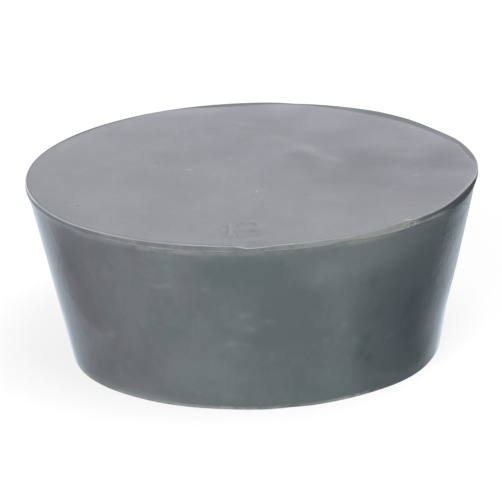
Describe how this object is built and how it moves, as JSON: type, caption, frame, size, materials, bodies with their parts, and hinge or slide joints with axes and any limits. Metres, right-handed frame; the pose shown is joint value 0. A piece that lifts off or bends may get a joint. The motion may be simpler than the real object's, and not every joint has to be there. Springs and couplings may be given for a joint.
{
  "type": "rubber stopper",
  "caption": "Solid tapered rubber stopper with flat faces and a narrow trimmed land under its wide face, pushed into a round neck to seal it.",
  "frame": {"origin": "centre of the narrow face, which the stopper stands on", "axes": "+Z along the axis of the taper, from the narrow face up to the wide face"},
  "size_m": [0.064, 0.064, 0.026],
  "materials": {
    "rubber": "satin moulded grey rubber, matte on the wide face"
  },
  "bodies": {
    "root": {"stopper": "rubber"}
  },
  "joints": []
}
